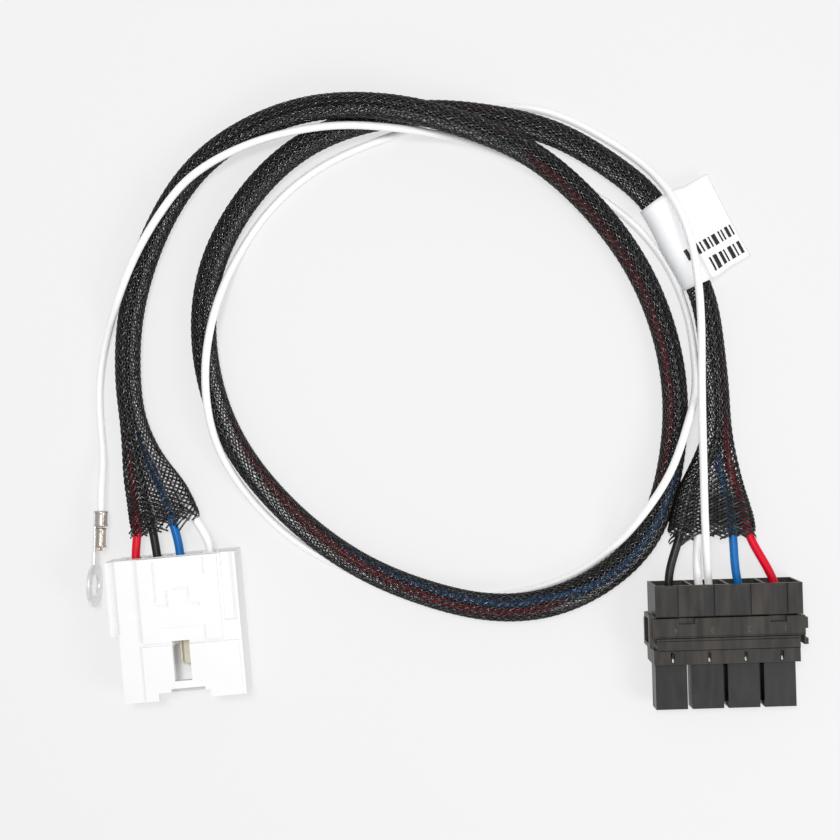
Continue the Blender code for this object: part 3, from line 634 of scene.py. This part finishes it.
BRAIDS = [
    principled("braid_filament_dull", (0.003, 0.003, 0.003), 0.30, Specular_IOR_Level=0.38),
    principled("braid_filament_gloss", (0.004, 0.004, 0.004), 0.21, Specular_IOR_Level=0.80),
    principled("braid_filament_plain", (0.003, 0.003, 0.003), 0.25, Specular_IOR_Level=0.56),
]
sleeve = Sleeve()
filaments = braid(sleeve, np.random.default_rng(RANDOM_SEED))
middle = (sleeve.at >= FLARE_CUT) & (sleeve.at <= sleeve.length - FLARE_CUT)
sleeve_pieces = []
for group in range(BRAID_GROUPS):
    name = f"braid_{group}"
    mesh = filament_mesh(name, filaments[group::BRAID_GROUPS], middle, sleeve.opened)
    sleeve_pieces.append(new_object(name, mesh, BRAIDS[group % len(BRAIDS)]))
for end, part in (("white_end", sleeve.at <= FLARE_CUT + BRAID_STEP),
                  ("black_end", sleeve.at >= sleeve.length - FLARE_CUT - BRAID_STEP)):
    for group in range(END_GROUPS):
        name = f"braid_{end}_{group}"
        mesh = filament_mesh(name, filaments[group::END_GROUPS], part, sleeve.opened,
                             (-PLY_SPREAD, PLY_SPREAD))
        sleeve_pieces.append(new_object(name, mesh, BRAIDS[group]))
for piece in sleeve_pieces:
    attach(piece, LOOM)


# ---------------------------------------------------------------- wires

INSULATION = {
    "wire_red": textured("insulation_red", (0.66, 0.000, 0.018), 0.36, (0.73, 0.000, 0.022),
                         Specular_IOR_Level=0.30),
    "wire_black": textured("insulation_black", (0.008, 0.008, 0.009), 0.38, (0.012, 0.012, 0.013),
                           Specular_IOR_Level=0.32),
    "wire_white": textured("insulation_white", (0.93, 0.93, 0.93), 0.38, (0.95, 0.95, 0.95)),
    "wire_blue": textured("insulation_blue", (0.000, 0.125, 0.40), 0.36, (0.001, 0.145, 0.46),
                          Specular_IOR_Level=0.30),
}
# Darker copies of the colours: painted shade where the braid covers the wire
SHADED = {
    "wire_red": textured("insulation_red_shaded", (0.36, 0.000, 0.011), 0.45, (0.43, 0.000, 0.013),
                         Specular_IOR_Level=0.30),
    "wire_blue": textured("insulation_blue_shaded", (0.000, 0.100, 0.34), 0.45,
                          (0.001, 0.115, 0.40), Specular_IOR_Level=0.30),
}


def cord(name, points, radius, material, shaded=None, **facts):
    """Insulated wire as a round tube, shaded inside the braid."""
    points, length = even_points(smooth_curve(points, 8000), step=1.0)
    points[:, 2] = np.maximum(points[:, 2], radius + TABLE_GAP)
    piece = new_object(name, tube_mesh(name, points, radius), material)
    if shaded:
        # Painted shade: faces that the braid covers take the darker copy of the colour
        piece.data.materials.append(shaded)
        ends = [(Vector(points[k]) * MM, depth * MM) for k, depth in zip((0, -1), MOUTH_DEPTHS)]
        for face in piece.data.polygons:
            covered = all((face.center - end).length > depth for end, depth in ends)
            face.material_index = int(covered)
    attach(piece, LOOM)
    return piece


bundle = sleeve.bundle()
inner = (sleeve.at >= 0) & (sleeve.at <= sleeve.length)
for name, row in WIRES.items():
    black_x = row["black"], row["black"], row["enter_black"]
    white_x = row["white"], row["white"], row["enter_white"]
    black_end = [in_world(BLACK_PLACE, (x, y, BLACK_AXIS_Z)) for x, y in zip(black_x, BLACK_WIRE_Y)]
    white_end = [in_world(WHITE_PLACE, (x, y, WHITE_AXIS_Z)) for x, y in zip(white_x, WHITE_WIRE_Y)]
    inside = bundle[name][inner][::-ROUTE_STRIDE]
    wire = cord(f"{name}_insulation", [*black_end, *inside, *white_end[::-1]], WIRE_RADIUS,
                INSULATION[name], SHADED.get(name), far_end="object", stiffness="medium")
    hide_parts(name)


# ---------------------------------------------------------------- plastics, metals and film

BLACK_PLASTIC = textured("black_plastic", (0.019, 0.017, 0.016), 0.40, (0.046, 0.040, 0.034),
                         stretch=(1.0, 0.16, 1.0), blotch=420.0, Specular_IOR_Level=0.32)
# Darker plastic for the towers, also used as painted shade on the floors of the strips beside the
# seams
TOWER_AND_STRIP_SHADE_PLASTIC = textured("black_plastic_tower_and_strip_shade", (0.017, 0.017, 0.018), 0.38,
                         (0.028, 0.028, 0.030), stretch=(1.0, 0.22, 1.0), blotch=420.0,
                         Specular_IOR_Level=0.32)
NUMERAL_PLASTIC = textured("black_plastic_numerals", (0.060, 0.056, 0.052), 0.36,
                           (0.08, 0.075, 0.07))
WHITE_PLASTIC = textured("white_plastic", (0.852, 0.852, 0.850), 0.42, (0.866, 0.866, 0.866))
# Painted light: lighter than the outer white, it fills the shade inside the hood and the cavities
WHITE_PAINTED_LIGHT_INSIDE = textured("white_plastic_painted_light_inside", (0.93, 0.925, 0.905), 0.5, (0.95, 0.945, 0.93))
TERMINAL_METAL = textured("terminal_metal", (0.74, 0.67, 0.52), 0.30, (0.80, 0.75, 0.62),
                          metallic=1.0)
TIN = textured("tin_plate", (0.92, 0.92, 0.92), 0.34, (0.80, 0.80, 0.79), metallic=0.55,
               blotch=500.0, grain=2500.0, grain_depth=0.00003)
CRIMP_TIN = textured("tin_plate_crimps", (0.60, 0.57, 0.52), 0.36, (0.46, 0.43, 0.38),
                     metallic=0.9, blotch=500.0, grain=2500.0, grain_depth=0.00003)
COPPER = textured("copper", (0.72, 0.36, 0.22), 0.30, (0.82, 0.50, 0.34), metallic=1.0)
FILM = textured("label_film", (0.86, 0.87, 0.89), 0.48, (0.89, 0.895, 0.905), grain=300.0,
                grain_depth=0.00001, spread=0.06, Specular_IOR_Level=0.35)
PRINT = textured("label_print", (0.012, 0.012, 0.014), 0.35, (0.02, 0.02, 0.022))


# ---------------------------------------------------------------- moulded pieces

def place_matrix(place):
    """Connector frame in millimetres to the part's frame in metres."""
    location, degrees = place
    return (Matrix.Scale(MM, 4) @ Matrix.Translation(Vector(location))
            @ Matrix.Rotation(math.radians(degrees), 4, "Z"))


def box(x, y, z, turn=0.0):
    """Box between limits in a connector's frame, as a fresh object."""
    shape = bmesh.new()
    bmesh.ops.create_cube(shape, size=1.0)
    centre = Vector(((x[0] + x[1]) / 2, (y[0] + y[1]) / 2, (z[0] + z[1]) / 2))
    size = (x[1] - x[0], y[1] - y[0], z[1] - z[0])
    shape.transform(Matrix.Translation(centre) @ Matrix.Rotation(math.radians(turn), 4, "Z")
                    @ Matrix.Diagonal((*size, 1.0)))
    return bpy.data.objects.new("box", mesh_of("box", shape))


def rod(radius, start, end, sides):
    """Round bar between two points in a connector's frame, as a fresh object."""
    start, end = Vector(start), Vector(end)
    shape = bmesh.new()
    bmesh.ops.create_cone(shape, cap_ends=True, segments=sides, radius1=radius, radius2=radius,
                          depth=(end - start).length)
    turn = (end - start).to_track_quat("Z", "Y").to_matrix().to_4x4()
    shape.transform(Matrix.Translation((start + end) / 2) @ turn)
    return bpy.data.objects.new("rod", mesh_of("rod", shape))


def combined(obj, steps):
    """Run (operation, tool) booleans on an object and give the resulting mesh."""
    scene_objects = bpy.context.scene.collection.objects
    scene_objects.link(obj)
    for operation, tool in steps:
        scene_objects.link(tool)
        boolean = obj.modifiers.new(operation, "BOOLEAN")
        boolean.operation = operation
        boolean.object = tool
        boolean.solver = "EXACT"
    mesh = evaluated_mesh(obj)
    for used in [obj, *(tool for _, tool in steps)]:
        bpy.data.objects.remove(used)
    return mesh


def moulded(name, node, place, steps, slot, *materials, bevel, body=LOOM, pick=None):
    """Detail a copy of a CAD node's mesh, round its edges and let it replace the node.

    Pick chooses a face's material from its centre and normal in the connector's frame.
    """
    mesh = frame["nodes"][node].data.copy()
    mesh.materials.clear()
    to_world = place_matrix(place)
    mesh.transform(to_world.inverted())
    mesh = combined(bpy.data.objects.new("base", mesh), steps)
    piece = new_object(name, mesh_of(name, joined_faces(mesh)), *materials)
    edges = piece.modifiers.new("edges", "BEVEL")
    edges.width = bevel
    edges.segments = 2
    edges.limit_method = "ANGLE"
    edges.angle_limit = math.radians(SHARP_ANGLE)
    edges.use_clamp_overlap = True
    final = evaluated_mesh(piece)
    piece.modifiers.clear()
    piece.data = final
    if pick:
        for face in final.polygons:
            face.material_index = pick(face.center, face.normal)
    final.transform(to_world)
    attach(piece, body)
    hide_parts(node)
    return piece


def cuts(*boxes):
    """Boxes to take away, given as x, y and z limits and sometimes a turn."""
    return [("DIFFERENCE", box(*limits)) for limits in boxes]


def adds(*boxes):
    """Boxes to put on, given as x, y and z limits."""
    return [("UNION", box(*limits)) for limits in boxes]


# ---------------------------------------------------------------- black connector

def black_tone(centre, normal):
    """Darker on the towers, and painted shade on the floors of the strips beside the seams."""
    painted_strip_shade = -8.5 < centre.y < -1.0 and 12.75 < centre.z < 12.85 and normal.z > 0.9
    return int(centre.y < BLACK_TOWERS_START or painted_strip_shade)


seams = [((x - 0.18, x + 0.25), (-8.9, -0.3), (12.52, BLACK_ABOVE)) for x in BLACK_SEAMS]
lines = [((-19.6, 19.0), (-18.05, -17.75), (11.9, BLACK_ABOVE)),
         ((-19.6, 19.0), (-15.35, -15.1), (12.4, BLACK_ABOVE)),
         ((-20.0, 20.0), (-9.0, -8.42), (12.2, BLACK_ABOVE))]
slots = [((x - 0.3, x + 0.75), (-21.3, -18.7), (11.2, BLACK_ABOVE)) for x in BLACK_SLOTS]
strips = [((x - 2.8, x), (-8.7, -0.9), (12.8, BLACK_ABOVE)) for x in BLACK_SEAMS]
webs = [((x - 0.8, x + 0.8), (-33.6, -21.4), (3.4, 5.2)) for x in (-0.75, 9.25)]
moulded("black_body", "black_housing", BLACK_PLACE,
        adds(*webs) + cuts(*seams, *strips, *lines, *slots), "black_plastic",
        BLACK_PLASTIC, TOWER_AND_STRIP_SHADE_PLASTIC, bevel=0.24, pick=black_tone)
for number, x in enumerate(BLACK_SLOTS):
    lance = combined(box((x + 0.1, x + 0.62), (-21.25, -20.85), (10.9, 11.6)),
                     adds(((x + 0.15, x + 0.57), (-21.2, -20.3), (10.95, 11.3))))
    lance.transform(place_matrix(BLACK_PLACE))
    piece = new_object(f"black_lance_{number + 1}", lance, TIN)
    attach(piece, LOOM)
longer_loop = adds(((-22.0, -20.95), (-10.0, -7.9), (4.2, 12.9)))
open_loop = cuts(((-23.0, -20.9), (-15.9, -9.0), (4.6, 10.9)))
nub_gap = cuts(((20.72, 22.0), (-15.3, -12.6), (2.0, BLACK_ABOVE)))
top_line = cuts(((-21.0, 20.4), (-14.05, -13.8), (13.05, BLACK_ABOVE)))
moulded("black_comb", "black_retainer", BLACK_PLACE, longer_loop + open_loop + nub_gap + top_line,
        "black_plastic", BLACK_PLASTIC, bevel=0.24, body="black_retainer")
moulded("black_lock_lever", "black_latch", BLACK_PLACE, [], "black_plastic", BLACK_PLASTIC,
        bevel=0.2, body="black_latch")
for number in range(4):
    node = f"black_terminal_{number + 1}"
    moulded(f"{node}_metal", node, BLACK_PLACE, [], "terminal_metal", TERMINAL_METAL, bevel=0.12)


def numeral(number, x):
    """Raised cavity number on top of the comb, upside down as moulded."""
    name = f"cavity_number_{number}"
    curve = bpy.data.curves.new(name, "FONT")
    curve.body = str(number)
    curve.size = NUMERAL_SIZE
    curve.extrude = NUMERAL_HEIGHT
    curve.align_x = "CENTER"
    curve.align_y = "CENTER"
    letter = new_object(name, curve)
    mesh = evaluated_mesh(letter)
    bpy.data.objects.remove(letter)
    mesh.transform(place_matrix(BLACK_PLACE)
                   @ Matrix.Translation((x, NUMERAL_PLACE_Y, NUMERAL_BASE))
                   @ Matrix.Rotation(math.pi, 4, "Z"))
    piece = new_object(name, mesh, NUMERAL_PLASTIC)
    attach(piece, "black_retainer")


for number, x in enumerate(BLACK_NUMERALS):
    numeral(number + 1, x)


# ---------------------------------------------------------------- white connector

def white_tone(centre, normal):
    """Lighter and warmer inside the hood and the cavities than on the outer faces: painted light
    that fills the shade inside them.
    """
    return int(-13.8 < centre.x < 16.4 and -38.9 < centre.y < -0.5 and 1.6 < centre.z < 12.0)


groove_floors = adds(((-16.85, -16.15), (-20.1, -0.3), (11.0, 12.1)),
                     ((-15.65, -14.95), (-20.1, -0.3), (11.0, 12.2)))
seat_wall = adds(((13.1, 13.6), (-22.8, -0.4), (10.9, 13.45)))
window = cuts((WHITE_WINDOW, (-24.9, -22.9), (7.4, 15.5)))
moulded("white_body", "white_housing", WHITE_PLACE, groove_floors + seat_wall + window,
        "white_plastic", WHITE_PLASTIC, WHITE_PAINTED_LIGHT_INSIDE, bevel=0.3, pick=white_tone)
lid = adds(((-8.68, 13.08), (-23.1, -0.05), (13.0, 14.8)),
           ((-9.1, 13.5), (-23.45, -0.3), (13.63, 13.9)))
notches = cuts(((-3.9, 8.6), (-24.0, -19.2), (14.25, 16.0)),
               ((-4.7, -4.1), (-12.6, -1.0), WHITE_GROOVE),
               (WHITE_WINDOW, (-24.0, -22.9), (11.0, 16.0)))
hook = cuts(((0.3, 4.5), (-8.9, -8.25), WHITE_GROOVE),
            ((4.2, 4.85), (-12.4, -8.3), WHITE_GROOVE),
            ((4.3, 7.6), (-13.15, -12.55), WHITE_GROOVE, -14.0),
            ((-4.6, -1.1), (-13.1, -12.5), WHITE_GROOVE, -14.0),
            ((-1.5, -0.9), (-13.3, -9.0), WHITE_GROOVE),
            ((9.05, 9.6), (-5.0, -0.8), WHITE_GROOVE))
moulded("white_lock_block", "white_retainer", WHITE_PLACE, lid + notches + hook,
        "white_plastic", WHITE_PLASTIC, bevel=0.22, body="white_retainer")
for number, x in enumerate(WHITE_CAVITIES):
    node = f"white_blade_{number + 1}"
    tab = adds(((x - 2.25, x + 1.55), (-30.3, -19.5), (6.4, 7.2)))
    slot = cuts(((x - 1.5, x - 1.15), (-31.0, -20.5), (6.0, 8.0)),
                ((x - 2.4, x - 1.3), (-31.0, -29.9), (6.0, 8.0)))
    moulded(f"{node}_metal", node, WHITE_PLACE, tab + slot, "terminal_metal", TERMINAL_METAL,
            bevel=0.1)


# ---------------------------------------------------------------- ring terminal

def ring_matrix():
    """Turn from the ring terminal's frame to the part's frame."""
    turn = Matrix.Rotation(math.radians(RING_TURN), 3, "Z")
    pitch = Matrix.Rotation(math.radians(RING_PITCH), 3, "X")
    return turn @ pitch @ Matrix.Rotation(math.radians(RING_ROLL), 3, "Y")


def on_ring(point):
    """Turn a point in the ring terminal's frame into the part's frame."""
    return np.array(ring_matrix() @ Vector(point)) + RING_CENTRE


def finish_metal(name, mesh, material, node):
    """Place a mesh from the ring terminal's frame on the loom."""
    mesh.transform(Matrix.Scale(MM, 4) @ Matrix.Translation(Vector(RING_CENTRE))
                   @ ring_matrix().to_4x4())
    piece = new_object(name, mesh, material)
    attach(piece, LOOM)
    if node:
        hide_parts(node)
    return piece


def crimp(radius, start, end, flare):
    """Open barrel folded over into a B, its tabs tucked in at the top."""
    half = np.array(((0.06, 0.10), (0.16, 0.62), (0.52, 0.92), (0.93, 0.55), (1.0, -0.05),
                     (0.72, -0.72), (0.0, -1.0)))
    half *= radius
    outline = np.vstack([half, half[-2::-1] * (-1, 1)])
    curve = smooth_curve(np.column_stack([outline, np.zeros(len(outline))]), 49)
    shape = bmesh.new()
    rows = []
    for part in np.linspace(0.0, 1.0, 9):
        grow = 1.0 + flare * max(0.0, abs(part - 0.5) * 2 - 0.55) ** 2 * 5
        y = start + (end - start) * part
        rows.append([shape.verts.new((p[0] * grow, y, p[1] * grow + WIRE_LIFT)) for p in curve])
    for here, there in zip(rows, rows[1:]):
        for k in range(len(curve) - 1):
            shape.faces.new((here[k], here[k + 1], there[k + 1], there[k]))
    obj = new_object("crimp", mesh_of("crimp", shape))
    skin = obj.modifiers.new("sheet", "SOLIDIFY")
    skin.thickness = CRIMP_SHEET
    skin.offset = 1.0
    solid = evaluated_mesh(obj)
    bpy.data.objects.remove(obj)
    solid.shade_smooth()
    return solid


def stamped_ring():
    """Ring and tongue as one rounded sheet."""
    half = RING_SHEET / 2
    base = rod(RING_RADIUS, (0.0, 0.0, -half), (0.0, 0.0, half), 64)
    tongue = adds(((-1.9, 1.9), (4.6, 9.4), (-half, half)),
                  ((-1.3, 1.3), (9.0, 20.4), (-0.32, 0.32)))
    bore = [("DIFFERENCE", rod(RING_BORE, (0.0, 0.0, -2.0), (0.0, 0.0, 2.0), 48))]
    shape = joined_faces(combined(base, tongue + bore))
    sharp = [e for e in shape.edges if e.is_manifold and e.calc_face_angle() > math.radians(50)]
    bmesh.ops.bevel(shape, geom=sharp, offset=0.16, segments=3, profile=0.5, affect="EDGES",
                    clamp_overlap=True)
    mesh = mesh_of("ring", shape)
    mesh.shade_smooth()
    mesh.set_sharp_from_angle(angle=math.radians(40))
    return mesh


ring_pieces = [finish_metal("ring_eyelet", stamped_ring(), TIN, "ring_terminal"),
               finish_metal("ring_conductor_crimp", crimp(1.12, 10.5, 15.9, 0.22), CRIMP_TIN,
                            None),
               finish_metal("ring_insulation_crimp", crimp(1.50, 16.3, 20.6, 0.12), CRIMP_TIN,
                            None)]
strands = []
for number in range(STRANDS):
    name = f"copper_strand_{number}"
    y = np.linspace(*STRAND_SPAN, 24)
    out = STRAND_CIRCLE if number < STRANDS - 1 else 0.0
    swirl = 2 * math.pi * number / (STRANDS - 1) + (y - STRAND_SPAN[0]) * STRAND_TWIST
    line = np.stack([out * np.cos(swirl), y, out * np.sin(swirl) + WIRE_LIFT], 1)
    world = np.array([on_ring(point) for point in line])
    strand = new_object(name, tube_mesh(name, world, STRAND_RADIUS, 8), COPPER)
    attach(strand, LOOM)
    strands.append(strand)
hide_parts("copper_strands")


# ---------------------------------------------------------------- label

def outward(x):
    """How far out on the flag a place is: 0 at the fold and 1 at the free end."""
    return (-x - LABEL_RADIUS) / (LABEL_FLAG - LABEL_RADIUS)


class Label:
    """Film strip folded round the sleeve, with both ends stuck together as a flag."""

    def __init__(self):
        points, length = even_points(smooth_curve(SLEEVE_ROUTE), count=1200)
        side, up = travel_frames(points)
        step = length / (len(points) - 1)
        first = int(round(LABEL_START * length / step))
        last = first + int(round(LABEL_LENGTH / step))
        self.points, self.side, self.up = points[first:last], side[first:last], up[first:last]
        self.straight = self.side.mean(axis=0)
        self.straight /= np.linalg.norm(self.straight)

    def at(self, along, x, z):
        """Point at a share of the label's length, with its place across and up."""
        i = int(round(along * (len(self.points) - 1)))
        out = float(ease(outward(x)))
        chord = self.points[0] * (1 - along) + self.points[-1] * along
        base = self.points[i] * (1 - out) + chord * out
        stiff = min(1.0, 2.5 * out)
        side = self.side[i] * (1 - stiff) + self.straight * stiff
        return base + side / np.linalg.norm(side) * x + self.up[i] * z

    def flag(self, along, x):
        """Height of the flag's middle, drooping outwards and curled at its far corner."""
        out = outward(x)
        curl = 1.3 * (1 - along) ** 2 * out ** 3
        return -LABEL_DROOP * out ** 1.3 + curl - 0.25 * math.sin(math.pi * along) * out

    def gap(self, x):
        """Half the space between the two layers of the flag."""
        return LABEL_SPLIT - (LABEL_SPLIT - LABEL_PINCH) * min(1.0, outward(x) * 2)

    def face(self, along, x):
        """Point just above the strip's upper face, on the flag or round the fold."""
        turn = (x + LABEL_RADIUS) / LABEL_RADIUS
        if turn < 0:
            return self.at(along, x, self.flag(along, x) + self.gap(x) + PRINT_LIFT)
        angle = math.pi - math.asin(LABEL_SPLIT / LABEL_RADIUS) - turn
        radius = LABEL_RADIUS + PRINT_LIFT
        return self.at(along, radius * math.cos(angle), radius * math.sin(angle))

    def row(self, along):
        """Profile of the strip: in along the top layer, round the sleeve, and out below."""
        across = -LABEL_FLAG + (LABEL_FLAG - LABEL_RADIUS) * np.linspace(0, 0.96, 22)
        top = [self.at(along, x, self.flag(along, x) + self.gap(x)) for x in across]
        split = math.asin(LABEL_SPLIT / LABEL_RADIUS)
        wrap = []
        for angle in np.linspace(math.pi - split, -math.pi + split, 44):
            wrap.append(self.at(along, LABEL_RADIUS * math.cos(angle),
                                LABEL_RADIUS * math.sin(angle)))
        low = [self.at(along, x, self.flag(along, x) - self.gap(x)) for x in across[::-1]]
        return [*top, *wrap, *low]


def sheet_mesh(name, rows):
    """Surface through rows of points, in millimetres."""
    width = len(rows[0])
    points = [p for row in rows for p in row]
    faces = [(i * width + k, i * width + k + 1, (i + 1) * width + k + 1, (i + 1) * width + k)
             for i in range(len(rows) - 1) for k in range(width - 1)]
    return mesh_from(name, points, faces)


def film(name, rows, thickness, offset, material):
    """Film of one thickness through rows of points."""
    piece = new_object(name, sheet_mesh(name, rows), material)
    skin = piece.modifiers.new("film", "SOLIDIFY")
    skin.thickness = thickness * MM
    skin.offset = offset
    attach(piece, LOOM)
    return piece


label = Label()
label_piece = film("label_strip", [label.row(v) for v in np.linspace(0, 1, 27)],
                   LABEL_THICK, 0.0, FILM)
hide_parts("label_flag")
for line, (along, tall, marks) in enumerate(LABEL_MARKS):
    x = -LABEL_FLAG + PRINT_MARGIN
    for k, (wide, gap) in enumerate(marks):
        rows = [[label.face(v, u) for u in np.linspace(x, x + wide, 5)]
                for v in np.linspace(along, along + tall, 6)]
        film(f"label_mark_{line}_{k}", rows, PRINT_THICK, 1.0, PRINT)
        x += wide + gap


# ---------------------------------------------------------------- ground wire

ring_end = [on_ring((0.0, y, WIRE_LIFT)) for y in RING_WIRE_Y]
ground_socket = zip((-3.7, -3.7, -4.3), BLACK_WIRE_Y, (0.0, 0.0, 0.6))
socket_end = [in_world(BLACK_PLACE, (x, y, BLACK_AXIS_Z + lift)) for x, y, lift in ground_socket]
ground = cord("ground_insulation", [*socket_end, *GROUND_ROUTE[::-1], *ring_end], GROUND_RADIUS,
              INSULATION["wire_white"], far_end="fitting", stiffness="medium",
              with_pieces=[*ring_pieces, *strands])
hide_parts("ground_wire")

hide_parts("braided_sleeve")
